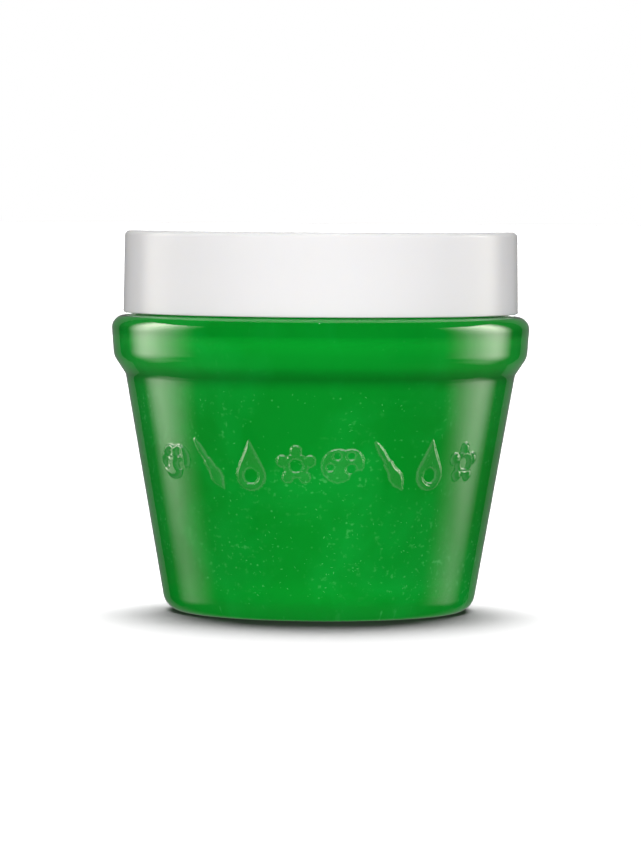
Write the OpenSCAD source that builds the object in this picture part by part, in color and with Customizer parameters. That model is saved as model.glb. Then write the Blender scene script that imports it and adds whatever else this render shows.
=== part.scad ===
// A flowerpot-shaped paint jar with a smooth screw lid, 84.8 mm across its rim and 77 mm high.
// The clear heavy-wall jar holds about 0.2 litres of paint. A thin plug disc with a fold-up finger
// tab closes the mouth, and a foam liner, a threaded insert and a smooth outer shell make the lid.
// The origin is the middle of the foot, +Z is up, and the front of the jar looks along -Y.

/* [Jar] */
// Radius at which the tapered wall would meet the floor
foot_r = 31.1; // [29:0.1:33]
// Lean of the wall away from upright, in degrees
taper = 9.93; // [6:0.1:12]
// Height at which the wall turns out into the rim band
band_z = 48; // [44:0.5:50]
// Radius of the rim band at its lower edge
band_low_r = 41.9; // [41:0.05:42.5]
// Radius of the rim band at its upper edge
band_top_r = 42.55; // [42:0.05:43]
// Height of the shoulder, which is the top of the rim band
shoulder_z = 60.1; // [58:0.1:61]
// Thickness of the solid base inside
base_t = 2.2; // [2:0.1:5]
// Thickness of the tapered wall near the foot
wall_t = 4.2; // [2.5:0.1:5]
// Rounding of the outer heel
heel_r = 3.8; // [2:0.1:4.5]
// Height of the paint above the floor
fill_z = 64; // [40:1:66]

/* [Relief] */
// Height of the raised paint marks above the wall
relief_h = 0.8; // [0.3:0.1:1.2]
// Height of the band of marks above the floor, at its middle
relief_z = 31.3; // [22:0.1:38]
// Angle from one mark to the next
mark_step = 14.6; // [13.5:0.1:18]
// Number of marks in the row, which is centred on the front
marks = 8; // [4:1:12]

/* [Neck] */
// Outer radius of the neck below the thread
neck_r = 35; // [34.6:0.1:35.1]
// Radius of the mouth
bore_r = 32.3; // [31:0.1:32.6]
// Height of the sealing lip above the floor
lip_z = 73.1; // [72:0.1:74]
// Rise of the thread in one turn
pitch = 5.08; // [4.6:0.01:6]
// Length of each thread in turns
turns = 1.25; // [1:0.05:1.3]

/* [Lid] */
// Outer radius of the lid at its lower edge
lid_low_r = 40; // [39.6:0.1:40.8]
// Outer radius of the lid at its top
lid_top_r = 39.75; // [39.4:0.05:40.8]
// Gap between the lid's lower edge and the shoulder
lid_gap = 0.3; // [0.3:0.1:1.5]
// Thickness of the shell's top
shell_t = 1.2; // [0.8:0.1:1.6]
// Thickness of the threaded insert
insert_t = 1; // [0.8:0.1:1.1]
// Thickness of the foam liner
liner_t = 0.9; // [0.5:0.1:1.5]

/* [Seal disc] */
// Thickness of the disc
disc_t = 0.8; // [0.6:0.1:1]
// Depth of the dished middle of the disc
dish = 1.7; // [1.6:0.1:2.5]
// Outer radius of the finger ring
ring_r = 7; // [5.5:0.5:9]
// Radius of the hole in the finger ring
ring_hole_r = 4.4; // [3:0.1:5]
// Thickness of the finger tab
tab_t = 0.7; // [0.5:0.1:1]

/* [Hidden] */

$fn = 96;
arc_steps = 7;

// Heights of the stack that closes the mouth, from the lip up
disc_top = lip_z + disc_t;
liner_top = disc_top + liner_t;
insert_top = liner_top + insert_t;
lid_top = insert_top + shell_t;
lid_low = shoulder_z + lid_gap;

// Jar
foot_ring_r = 24.6;
foot_ring_slope = 1.6;
push_up = 0.8;
gate_r = 2.2;
gate_h = 0.3;
band_rise = 3.6;
inner_low_r = foot_r - wall_t / cos(taper) + base_t * tan(taper);
inner_band = [35.6, 55.5];
inner_neck_z = 61.5;

// Thread ridges: the width at the root and at the crest, the height, and the buried depth
ridge_root = 2.2;
ridge_crest = 0.9;
ridge_h = 1.25;
ridge_bury = 0.4;
ridge_steps = 48;
ridge_fade = 6;
neck_thread_z = 64.2;
thread_drop = 1.5;

// Lid
insert_bore = 36.8;
insert_r = 37.9;
insert_low = lid_low + 1;
shell_bore = insert_r + 0.05;
bead_z = lid_low + 3.4;
bead_r = 0.35;
groove_r = 0.45;
liner_r = insert_bore - 0.4;
lid_thread_start = 90;
keys = 4;
key_w = 1.2;
key_h = 2;
key_depth = 0.7;
key_play = 0.15;

// Seal disc and its finger tab
plug_r = bore_r - 0.2;
flange_r = neck_r - 0.4;
plug_low = lip_z - 3.1;
dish_top = disc_top - dish;
tab_gap = 0.15;
tab_z = dish_top + tab_gap + tab_t / 2;
hinge_y = 8;
arm_w = 8;
anchor_w = 1.2;

function unit(v) = v / norm(v);

// Radius of the outer wall at height z
function wall_r(z) = foot_r + z * tan(taper);

// The points that round one corner of an outline, from the side that comes in to the side that goes out
function rounded(before, at, after, r) =
    r <= 0 ? [at] :
    let(
        a = unit(before - at),
        b = unit(after - at),
        half = acos(a * b) / 2,
        centre = at + unit(a + b) * r / sin(half),
        first = at + a * r / tan(half) - centre,
        last = at + b * r / tan(half) - centre,
        start = atan2(first.y, first.x),
        swing = atan2(last.y, last.x) - start,
        turn = swing > 180 ? swing - 360 : swing < -180 ? swing + 360 : swing
    )
    [for (i = [0:arc_steps]) centre + r * [
        cos(start + turn * i / arc_steps), sin(start + turn * i / arc_steps)]];

// An outline whose corners are given as [radius, height, rounding]
function outline(corners) =
    let(n = len(corners), at = [for (c = corners) [c.x, c.y]])
    [for (i = [0:n - 1]) each rounded(at[(i + n - 1) % n], at[i], at[(i + 1) % n], corners[i].z)];

// The jar's inner wall, from the corner under the neck to the middle of the base
inner_corners = [
    [bore_r, inner_neck_z, 3],
    [inner_band.x, inner_band.y, 4],
    [inner_low_r, base_t, 5],
    [0, base_t, 0]
];

jar_corners = concat(
    [
        [0, push_up - gate_h, 0],
        [gate_r, push_up - gate_h, 0],
        [gate_r + 0.2, push_up, 0],
        [foot_ring_r - foot_ring_slope, push_up, 0.8],
        [foot_ring_r, 0, 0.5],
        [foot_r, 0, heel_r],
        [wall_r(band_z), band_z, 2.5],
        [band_low_r, band_z + band_rise, 3.5],
        [band_top_r, shoulder_z, 2.8],
        [neck_r, shoulder_z, 0.8],
        [neck_r, lip_z, 0.6],
        [bore_r, lip_z, 0.6]
    ],
    inner_corners
);

// One thread ridge on a wall of radius r. side is 1 outwards and -1 inwards. The ridge follows the
// right-hand helix that passes height z at angle 0, and fades in and out at its ends.
module thread_ridge(r, side, z, from) {
    n = round(turns * ridge_steps);
    function share(i) = min(1, (i + 0.6) / ridge_fade, (n - i + 0.6) / ridge_fade);
    function section(i) =
        let(
            angle = from + 360 * i / ridge_steps,
            level = z + pitch * angle / 360,
            crest = r + side * ridge_h * share(i),
            root = r - side * ridge_bury
        )
        [for (p = [[root, -ridge_root / 2], [root, ridge_root / 2],
                [crest, ridge_crest / 2], [crest, -ridge_crest / 2]])
            [p.x * cos(angle), p.x * sin(angle), level + p.y]];
    points = [for (i = [0:n]) each section(i)];
    cap = [[0, 1, 2, 3], [for (k = [3:-1:0]) 4 * n + k]];
    sides = [for (i = [0:n - 1], k = [0:3])
        let(a = 4 * i + k, b = 4 * i + (k + 1) % 4)
        each [[a, a + 4, b], [b, a + 4, b + 4]]];
    faces = concat(cap, sides);
    polyhedron(points, side > 0 ? faces : [for (f = faces) [for (k = [len(f) - 1:-1:0]) f[k]]]);
}

// The four paint marks, drawn flat between these two heights
mark_low = -5.3;
mark_top = 5.3;

// Palette with a thumb hole and three wells
module palette_mark() {
    difference() {
        union() {
            translate([-1, 0]) circle(r = 3.5);
            translate([1.5, 0.7]) circle(r = 2.8);
        }
        translate([3.2, -2.9]) circle(r = 1.9);
        translate([1.6, -0.6]) circle(r = 0.9);
        translate([1.5, 2]) circle(r = 0.65);
        translate([-1.2, 2]) circle(r = 0.65);
        translate([-2.6, -0.3]) circle(r = 0.65);
    }
}

// Round brush leaning over its pointed tip
module brush_mark() {
    lean = -33;
    rotate(lean) {
        polygon([[0, mark_low - 0.9], [1.3, -4.2], [1.6, -2.6], [1.05, -1.1], [1.05, 0.8],
            [0.65, 1.1], [0.8, 3.2], [0.35, mark_top + 0.5], [-0.35, mark_top + 0.5], [-0.8, 3.2],
            [-0.65, 1.1], [-1.05, 0.8], [-1.05, -1.1], [-1.6, -2.6], [-1.3, -4.2]]);
    }
}

// Hollow drop
module drop_mark() {
    r = 3.2;
    rise = mark_top - mark_low - r;
    side = 65;
    translate([0, mark_low + r]) difference() {
        union() {
            circle(r = r);
            polygon([[0, rise], [-0.99 * r * sin(side), r * cos(side)], [0, -1],
                [0.99 * r * sin(side), r * cos(side)]]);
        }
        translate([0, -0.1]) circle(r = 1.4);
    }
}

// Splash with five lobes
module splash_mark() {
    lobes = 5;
    difference() {
        union() {
            circle(r = 2.6);
            for (i = [0:lobes - 1]) rotate(90 + 360 * i / lobes) translate([2.9, 0]) circle(r = 1.3);
        }
        circle(r = 1.2);
    }
}

// A thin skin on the wall that gives every mark the same height
module relief_skin() {
    low = relief_z - 8;
    high = relief_z + 8;
    rotate_extrude() polygon([
        [wall_r(low) - 1, low], [wall_r(low) + relief_h, low],
        [wall_r(high) + relief_h, high], [wall_r(high) - 1, high]]);
}

// The row of raised marks round the front of the jar
module relief() {
    intersection() {
        relief_skin();
        for (i = [0:marks - 1]) {
            rotate([0, 0, -90 + (i - (marks - 1) / 2) * mark_step])
                translate([wall_r(relief_z), 0, relief_z]) rotate([0, taper, 0]) rotate([90, 0, 90])
                    translate([0, 0, -1.5]) linear_extrude(height = 4) {
                        if (i % 4 == 0) palette_mark();
                        if (i % 4 == 1) brush_mark();
                        if (i % 4 == 2) drop_mark();
                        if (i % 4 == 3) splash_mark();
                    }
        }
    }
}

// Heavy-wall clear moulding: tapered wall, rim band, threaded neck and raised marks
module clear_jar() {
    color([0.86, 0.93, 0.88, 0.4]) union() {
        rotate_extrude() polygon(outline(jar_corners));
        thread_ridge(neck_r, 1, neck_thread_z, 0);
        relief();
    }
}

// The paint, which fills the jar up to the neck
module paint_fill() {
    color([0.0, 0.56, 0.13]) rotate_extrude() polygon(outline(concat(
        [[0, fill_z, 0], [bore_r, fill_z, 0]], inner_corners)));
}

// Thin plug disc that sits in the mouth, with a bar that anchors the finger tab
module seal_disc() {
    color([0.93, 0.93, 0.91]) {
        rotate_extrude() polygon(outline([
            [0, dish_top, 0], [30, dish_top, 0.4], [30.8, disc_top, 0.3],
            [flange_r, disc_top, 0.3], [flange_r, lip_z, 0.2], [plug_r, lip_z, 0],
            [plug_r, plug_low, 0.2], [plug_r - disc_t, plug_low, 0.2],
            [plug_r - disc_t, dish_top - disc_t, 0.3], [0, dish_top - disc_t, 0]]));
        translate([-arm_w / 2, hinge_y + tab_t / 2 + tab_gap, dish_top - 0.2])
            cube([arm_w, anchor_w, tab_gap + tab_t + 0.2]);
    }
}

// Finger ring on a short arm, with a round root that it folds about
module pull_tab() {
    color([0.93, 0.93, 0.91]) difference() {
        union() {
            translate([0, 0, tab_z - tab_t / 2]) {
                cylinder(r = ring_r, h = tab_t);
                translate([-arm_w / 2, 0, 0]) cube([arm_w, hinge_y, tab_t]);
            }
            translate([-arm_w / 2, hinge_y, tab_z]) rotate([0, 90, 0])
                cylinder(r = tab_t / 2, h = arm_w);
        }
        translate([0, 0, tab_z - tab_t]) cylinder(r = ring_hole_r, h = 2 * tab_t);
    }
}

// Foam wad that is held loosely behind the insert's thread
module foam_liner() {
    color([0.95, 0.95, 0.93]) translate([0, 0, disc_top]) cylinder(r = liner_r, h = liner_t);
}

// Places a block on each drive key, reaching from radius low to radius high
module at_keys(low, high, w, z, h) {
    for (i = [0:keys - 1]) rotate([0, 0, 45 + 360 * i / keys])
        translate([low, -w / 2, z]) cube([high - low, w, h]);
}

// Inner cap of the lid: a top, a skirt with a snap bead and notches for the drive keys, and the thread
module threaded_insert() {
    color([0.9, 0.9, 0.89]) union() {
        difference() {
            rotate_extrude() polygon(outline([
                [0, liner_top, 0], [insert_bore, liner_top, 0.3], [insert_bore, insert_low, 0.2],
                [insert_r, insert_low, 0.2], [insert_r, insert_top, 0.5], [0, insert_top, 0]]));
            at_keys(insert_bore - 1, insert_r + 1, key_w + 2 * key_play, insert_low - 1,
                key_h + 1 + key_play);
        }
        rotate_extrude() translate([insert_r, bead_z]) circle(r = bead_r, $fn = 24);
        thread_ridge(insert_bore, -1, neck_thread_z - thread_drop, lid_thread_start);
    }
}

// Smooth outer cap that snaps over the insert, with keys that turn it
module lid_shell() {
    color([0.95, 0.95, 0.94]) union() {
        difference() {
            rotate_extrude() polygon(outline([
                [0, insert_top, 0], [shell_bore, insert_top, 0.4], [shell_bore, lid_low, 0.3],
                [lid_low_r, lid_low, 0.3], [lid_top_r, lid_top, 1], [0, lid_top, 0]]));
            rotate_extrude() translate([insert_r, bead_z]) circle(r = groove_r, $fn = 24);
        }
        at_keys(shell_bore - key_depth, shell_bore + 0.5, key_w, insert_low, key_h);
    }
}

clear_jar();
paint_fill();
seal_disc();
pull_tab();
foam_liner();
threaded_insert();
lid_shell();
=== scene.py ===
import math

import bmesh
import bpy
import numpy as np
from mathutils import Matrix, Vector


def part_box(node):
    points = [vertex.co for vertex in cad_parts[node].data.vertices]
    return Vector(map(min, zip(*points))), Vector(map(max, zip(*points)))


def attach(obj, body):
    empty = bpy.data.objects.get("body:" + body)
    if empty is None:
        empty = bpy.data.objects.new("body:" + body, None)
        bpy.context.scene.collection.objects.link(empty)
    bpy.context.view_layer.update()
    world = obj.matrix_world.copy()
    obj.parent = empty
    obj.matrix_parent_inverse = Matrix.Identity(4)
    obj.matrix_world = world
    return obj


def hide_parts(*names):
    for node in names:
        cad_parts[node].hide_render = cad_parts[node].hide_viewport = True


# A flowerpot-shaped jar of green paint with a smooth white screw lid. Lengths are in millimetres
# until a mesh is made, and +Z is up. The front of the jar, with its raised marks, looks along -Y.
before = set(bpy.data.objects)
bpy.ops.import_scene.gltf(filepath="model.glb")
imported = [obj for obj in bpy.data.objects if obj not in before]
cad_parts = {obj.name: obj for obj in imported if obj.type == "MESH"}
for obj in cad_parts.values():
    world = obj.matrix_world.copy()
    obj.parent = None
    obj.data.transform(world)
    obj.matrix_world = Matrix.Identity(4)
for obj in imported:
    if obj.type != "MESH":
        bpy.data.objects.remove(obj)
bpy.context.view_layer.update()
MM = 0.001


# ---------------------------------------------------------------- clear jar
# The jar is one heavy-wall moulding in clear plastic: a tapered body on a foot ring, a rim band, and
# a neck with an external thread. Its outline turns about the axis, and the raised paint marks and
# the thread are part of the same skin.
foot_r = 31.1
taper = math.radians(9.93)
heel_r = 3.8
foot_ring_r = 24.6
foot_ring_slope = 1.6
push_up = 0.8
gate_r = 2.2
gate_h = 0.3
band_z = 48.0
band_rise = 3.6
band_low_r = 41.9
band_top_r = 42.55
lid_gap = 0.3
lip_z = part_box("clear_jar")[1].z / MM
lid_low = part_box("lid_shell")[0].z / MM
shoulder_z = lid_low - lid_gap
neck_r = 35.0
bore_r = 32.3
base_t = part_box("paint_fill")[0].z / MM
wall_t = 4.2
inner_neck_z = 61.5
inner_band = (35.6, 55.5)
jar_steps = 192
plastic_ior = 1.57
plastic_tints = [(0.955, 0.985, 0.96, 1), (0.99, 1.0, 0.99, 1)]
lamp_tint = (0.93, 0.96, 0.94, 1)

mark_z = 31.3
mark_reach = 6.6
mark_h = 0.8
mark_edge = 1.0
mark_rim = 0.35
# Edge faces of the marks whose normals point up more than this are whitened as painted glints.
painted_glint_tilt = 0.6
mark_step = 14.6
mark_count = 8
mark_cuts = 6
mark_span = 60.0
mark_row_gap = 1.2
mark_row_count = 12

thread_pitch = 5.08
thread_turns = 1.25
thread_z = 64.2
thread_h = 1.25
thread_crest = 0.9
thread_root = 2.2
thread_fade = 40.0
thread_foot = 1.5
neck_row_gap = 0.33
neck_row_count = 34


def wall_r(z):
    """Radius of the tapered outer wall at height z."""
    return foot_r + z * math.tan(taper)


def outline(corners, closed=False):
    """Points of an outline whose corners are (radius, height, rounding), with an arc at each rounding."""
    points = []
    for i, (x, y, r) in enumerate(corners):
        at = Vector((x, y))
        if r == 0:
            points.append(at)
            continue
        before = (Vector(corners[i - 1][:2]) - at).normalized()
        after = (Vector(corners[(i + 1) % len(corners)][:2]) - at).normalized()
        half = before.angle(after) / 2
        centre = at + (before + after).normalized() * r / math.sin(half)
        reach = r / math.tan(half)
        first = at + before * reach - centre
        last = at + after * reach - centre
        start = math.atan2(first.y, first.x)
        turn = math.remainder(math.atan2(last.y, last.x) - start, math.tau)
        steps = max(3, round(abs(turn) * (3 + 1.6 * math.sqrt(r))))
        guard = min(0.12, 0.25 * r)
        points.append(at + before * (reach + guard))
        for k in range(steps + 1):
            angle = start + turn * k / steps
            points.append(centre + r * Vector((math.cos(angle), math.sin(angle))))
        points.append(at + after * (reach + guard))
    return points + points[:1] if closed else points


def node(tree, kind, inputs=None, **settings):
    """A new node with its settings, and its inputs fed by values or by other nodes' outputs."""
    made = tree.nodes.new(kind)
    for name, value in settings.items():
        setattr(made, name, value)
    for name, value in (inputs or {}).items():
        if isinstance(value, bpy.types.NodeSocket):
            tree.links.new(value, made.inputs[name])
        else:
            made.inputs[name].default_value = value
    return made


def calc(tree, operation, *values):
    """The output of a Math node."""
    made = node(tree, "ShaderNodeMath", dict(enumerate(values)), operation=operation)
    return made.outputs[0]


def node_group(name, kind, inputs, outputs):
    """A node tree with named sockets, and its input and output nodes."""
    tree = bpy.data.node_groups.new(name, kind)
    for way, sockets in (("INPUT", inputs), ("OUTPUT", outputs)):
        for label, socket in sockets.items():
            tree.interface.new_socket(label, in_out=way, socket_type="NodeSocket" + socket)
    return tree, tree.nodes.new("NodeGroupInput").outputs, tree.nodes.new("NodeGroupOutput").inputs


def turning_tree():
    """Turns an outline of points in the XZ plane once round the Z axis."""
    tree, given, result = node_group(
        "turned_piece", "GeometryNodeTree",
        {"Outline": "Geometry", "Steps": "Int", "Finish": "Material"}, {"Piece": "Geometry"})
    rows = node(tree, "GeometryNodeAttributeDomainSize", {"Geometry": given["Outline"]})
    columns = calc(tree, "ADD", given["Steps"], 1)
    grid = node(tree, "GeometryNodeMeshGrid",
                {"Vertices X": rows.outputs["Point Count"], "Vertices Y": columns})
    index = node(tree, "GeometryNodeInputIndex").outputs[0]
    row = calc(tree, "FLOOR", calc(tree, "DIVIDE", calc(tree, "ADD", index, 0.5), columns))
    column = calc(tree, "SUBTRACT", index, calc(tree, "MULTIPLY", row, columns))
    position = node(tree, "GeometryNodeInputPosition").outputs[0]
    point = node(tree, "GeometryNodeSampleIndex",
                 {"Geometry": given["Outline"], "Index": row}, data_type="FLOAT_VECTOR")
    tree.links.new(position, point.inputs["Value"])
    angle = calc(tree, "MULTIPLY", column, calc(tree, "DIVIDE", math.tau, given["Steps"]))
    turned = node(tree, "ShaderNodeVectorRotate", {"Vector": point.outputs[0], "Angle": angle},
                  rotation_type="Z_AXIS")
    placed = node(tree, "GeometryNodeSetPosition",
                  {"Geometry": grid.outputs["Mesh"], "Position": turned.outputs[0]})
    merged = node(tree, "GeometryNodeMergeByDistance",
                  {"Geometry": placed.outputs[0], "Distance": 2e-6})
    real = node(tree, "GeometryNodeRealizeInstances", {"Geometry": merged.outputs[0]})
    finish = node(tree, "GeometryNodeSetMaterial",
                  {"Geometry": real.outputs[0], "Material": given["Finish"]})
    tree.links.new(finish.outputs[0], result["Piece"])
    return tree


turned_piece = turning_tree()


def new_object(name, mesh):
    made = bpy.data.objects.new(name, mesh)
    bpy.context.scene.collection.objects.link(made)
    return made


def grow(name, mesh, tree, values):
    """A plain mesh made by a Geometry Nodes tree from a mesh, with the tree's inputs given by name."""
    seed = new_object(name + "_seed", mesh)
    modifier = seed.modifiers.new(tree.name, "NODES")
    modifier.node_group = tree
    for item in tree.interface.items_tree:
        if item.name in values:
            modifier[item.identifier] = values[item.name]
    seed.update_tag()
    graph = bpy.context.evaluated_depsgraph_get()
    grown = bpy.data.meshes.new_from_object(seed.evaluated_get(graph))
    bpy.data.objects.remove(seed)
    grown.name = name
    grown.materials.clear()
    grown.materials.append(values["Finish"])
    grown.polygons.foreach_set("material_index", np.zeros(len(grown.polygons), np.int32))
    return grown


def tidied(mesh):
    """Merges doubles, points every face outwards and shades it smooth."""
    bm = bmesh.new()
    bm.from_mesh(mesh)
    bmesh.ops.remove_doubles(bm, verts=bm.verts, dist=1e-6)
    bmesh.ops.dissolve_degenerate(bm, edges=bm.edges, dist=1e-7)
    bmesh.ops.recalc_face_normals(bm, faces=bm.faces)
    for face in bm.faces:
        face.smooth = True
    bm.to_mesh(mesh)
    bm.free()
    return mesh


def turn(name, points, steps, finish):
    """The mesh of an outline turned about the axis."""
    mesh = bpy.data.meshes.new(name + "_outline")
    mesh.from_pydata([(p.x * MM, 0, p.y * MM) for p in points], [], [])
    return tidied(grow(name, mesh, turned_piece, {"Steps": steps, "Finish": finish}))


def positions(mesh):
    """A mesh's vertices in millimetres, one row each."""
    flat = np.empty(len(mesh.vertices) * 3)
    mesh.vertices.foreach_get("co", flat)
    return flat.reshape(-1, 3) / MM


def set_positions(mesh, points):
    mesh.vertices.foreach_set("co", (points * MM).ravel())
    mesh.update()


def in_disc(x, y, cx, cy, r):
    """Distance inwards from the edge of a disc, negative outside it."""
    return r - np.hypot(x - cx, y - cy)


def in_polygon(x, y, corners):
    """Distance inwards from the edge of a polygon, negative outside it."""
    nearest = np.full(x.shape, np.inf)
    inside = np.zeros(x.shape, bool)
    for (ax, ay), (bx, by) in zip(corners, corners[1:] + corners[:1]):
        share = ((x - ax) * (bx - ax) + (y - ay) * (by - ay)) / ((bx - ax) ** 2 + (by - ay) ** 2)
        share = np.clip(share, 0, 1)
        gap = np.hypot(x - ax - share * (bx - ax), y - ay - share * (by - ay))
        nearest = np.minimum(nearest, gap)
        if ay != by:
            crossing = ax + (y - ay) * (bx - ax) / (by - ay)
            inside ^= ((ay > y) != (by > y)) & (x < crossing)
    return np.where(inside, nearest, -nearest)


def palette(x, y):
    """A palette with a thumb hole and three wells."""
    body = np.maximum(in_disc(x, y, -1, 0, 3.5), in_disc(x, y, 1.5, 0.7, 2.8))
    holes = [(3.2, -2.9, 1.9), (1.6, -0.6, 0.9), (1.5, 2, 0.65), (-1.2, 2, 0.65), (-2.6, -0.3, 0.65)]
    for cx, cy, r in holes:
        body = np.minimum(body, -in_disc(x, y, cx, cy, r))
    return body


def brush(x, y):
    """A round brush that leans over its pointed tip."""
    lean = math.radians(33)
    along = x * -math.sin(lean) + y * math.cos(lean)
    across = np.abs(x * math.cos(lean) + y * math.sin(lean))
    side = [(1.3, -4.2), (1.6, -2.6), (1.05, -1.1), (1.05, 0.8), (0.65, 1.1), (0.8, 3.2), (0.35, 5.8)]
    corners = [(0, -6.2)] + side + [(-a, b) for a, b in reversed(side)]
    return in_polygon(across, along, corners)


def drop(x, y):
    """A hollow drop."""
    low, top, r, side = -5.3, 5.3, 3.2, math.radians(65)
    edge = r * math.sin(side), low + r + r * math.cos(side)
    body = np.maximum(in_disc(x, y, 0, low + r, r),
                      in_polygon(x, y, [(0, top), (-edge[0], edge[1]), (0, low + r - 1), edge]))
    return np.minimum(body, -in_disc(x, y, 0, low + r - 0.1, 1.4))


def splash(x, y):
    """A splash with five lobes round a hole."""
    body = in_disc(x, y, 0, 0, 2.6)
    lobes = 5
    for i in range(lobes):
        angle = math.radians(90 + 360 * i / lobes)
        lobe = in_disc(x, y, 2.9 * math.cos(angle), 2.9 * math.sin(angle), 1.3)
        body = np.maximum(body, lobe)
    return np.minimum(body, -in_disc(x, y, 0, 0, 1.2))


def swell(depth, edge):
    """Rises from 0 at the edge of a shape to 1 at the given depth inside it, as a rounded bead does."""
    return np.sin(np.clip(depth / edge, 0, 1) * math.pi / 2)


def refine_marks(mesh):
    """Divides the wall's faces finely where the marks stand."""
    bm = bmesh.new()
    bm.from_mesh(mesh)
    edges = set()
    for face in bm.faces:
        at = face.calc_center_median() / MM
        front = abs(math.degrees(math.atan2(at.x, -at.y))) < mark_span
        if front and abs(at.z - mark_z) < mark_reach and at.xy.length > wall_r(at.z) - 1:
            edges.update(face.edges)
    bmesh.ops.subdivide_edges(bm, edges=list(edges), cuts=mark_cuts, use_grid_fill=True)
    bm.to_mesh(mesh)
    bm.free()


def mark_depth(points):
    """How far inside a mark's edge each point lies, negative off the marks, and which are on the wall."""
    x, y, z = points.T
    on_wall = (np.abs(z - mark_z) < mark_reach + 1) & (np.hypot(x, y) > wall_r(z) - 1)
    azimuth = np.arctan2(x, -y)
    depth = np.full(x.shape, -np.inf)
    for i in range(mark_count):
        centre = math.radians((i - (mark_count - 1) / 2) * mark_step)
        shape = (palette, brush, drop, splash)[i % 4]
        along = (azimuth[on_wall] - centre) * wall_r(mark_z)
        up = (z[on_wall] - mark_z) / math.cos(taper)
        depth[on_wall] = np.maximum(depth[on_wall], shape(along, up))
    return depth, on_wall


def raise_marks(points):
    """Raises the row of marks on the tapered wall."""
    depth, on_wall = mark_depth(points)
    x, y, z = points[on_wall].T
    azimuth = np.arctan2(x, -y)
    radius = wall_r(z) + mark_h * swell(depth[on_wall], mark_edge)
    points[on_wall, 0] = radius * np.sin(azimuth)
    points[on_wall, 1] = -radius * np.cos(azimuth)


def raise_thread(points):
    """Raises the thread's ridge on the neck."""
    r = np.hypot(points[:, 0], points[:, 1])
    between = (points[:, 2] > shoulder_z + thread_foot) & (points[:, 2] < lip_z - 0.8)
    on_neck = between & (r > neck_r - 0.3)
    x, y, z = points[on_neck].T
    angle = np.degrees(np.arctan2(y, x)) % 360
    height = np.zeros(x.shape)
    for lap in range(2):
        run = angle + 360 * lap
        fade = np.clip(np.minimum(run, 360 * thread_turns - run) / thread_fade, 0, 1)
        off = np.abs(z - thread_z - thread_pitch * run / 360)
        slope = np.clip((thread_root / 2 - off) / ((thread_root - thread_crest) / 2), 0, 1)
        rise = thread_h * fade * np.sin(slope * math.pi / 2)
        height = np.maximum(height, np.where(run <= 360 * thread_turns, rise, 0))
    points[on_neck, 0] *= 1 + height / neck_r
    points[on_neck, 1] *= 1 + height / neck_r


def new_material(name, constants):
    """A material, its node tree, and its shader with the given constants."""
    material = bpy.data.materials.new(name)
    material.use_nodes = True
    shader = material.node_tree.nodes["Principled BSDF"]
    for label, value in constants.items():
        shader.inputs[label].default_value = value
    return material, material.node_tree, shader


def clear_plastic(name, roughness, clearness):
    """Clear heavy-wall plastic that lets the lamps through its first skin to the paint."""
    material, tree, shader = new_material(name, {
        "Roughness": roughness, "IOR": plastic_ior, "Transmission Weight": clearness})
    place = node(tree, "ShaderNodeTexCoord").outputs["Object"]
    depth = node(tree, "ShaderNodeTexNoise", {"Vector": place, "Scale": 45.0, "Detail": 1.0})
    tint = node(tree, "ShaderNodeMix", {0: depth.outputs["Fac"], 6: plastic_tints[0],
                                        7: plastic_tints[1]}, data_type="RGBA")
    tree.links.new(tint.outputs[2], shader.inputs["Base Color"])
    flow = node(tree, "ShaderNodeTexNoise", {"Vector": place, "Scale": 90.0, "Detail": 2.0})
    bump = node(tree, "ShaderNodeBump", {"Height": flow.outputs["Fac"], "Strength": 0.05,
                                         "Distance": 0.0006})
    tree.links.new(bump.outputs[0], shader.inputs["Normal"])
    path = node(tree, "ShaderNodeLightPath").outputs
    first = calc(tree, "LESS_THAN", path["Transparent Depth"], 0.5)
    towards_lamp = calc(tree, "MULTIPLY", path["Is Shadow Ray"], first)
    open_to_lamps = node(tree, "ShaderNodeBsdfTransparent", {"Color": lamp_tint})
    mixed = node(tree, "ShaderNodeMixShader", {0: towards_lamp, 1: shader.outputs[0],
                                               2: open_to_lamps.outputs[0]})
    tree.links.new(mixed.outputs[0], tree.nodes["Material Output"].inputs["Surface"])
    return material


inner_low_r = wall_r(base_t) - wall_t / math.cos(taper)
inner_wall = [(bore_r, inner_neck_z, 3.0), (*inner_band, 4.0), (inner_low_r, base_t, 5.0),
              (0, base_t, 0)]
mark_rows = [mark_z - mark_reach + mark_row_gap * i for i in range(mark_row_count)]
neck_rows = [shoulder_z + thread_foot + neck_row_gap * i for i in range(neck_row_count)]
jar_outline = outline(
    [(0, push_up - gate_h, 0), (gate_r, push_up - gate_h, 0), (gate_r + 0.2, push_up, 0),
     (foot_ring_r - foot_ring_slope, push_up, 0.8), (foot_ring_r, 0, 0.5), (foot_r, 0, heel_r)]
    + [(wall_r(z), z, 0) for z in mark_rows]
    + [(wall_r(band_z), band_z, 2.5), (band_low_r, band_z + band_rise, 3.5),
       (band_top_r, shoulder_z, 2.8), (neck_r, shoulder_z, 0.8)]
    + [(neck_r, z, 0) for z in neck_rows]
    + [(neck_r, lip_z, 0.6), (bore_r, lip_z, 0.6)] + inner_wall)

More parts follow.
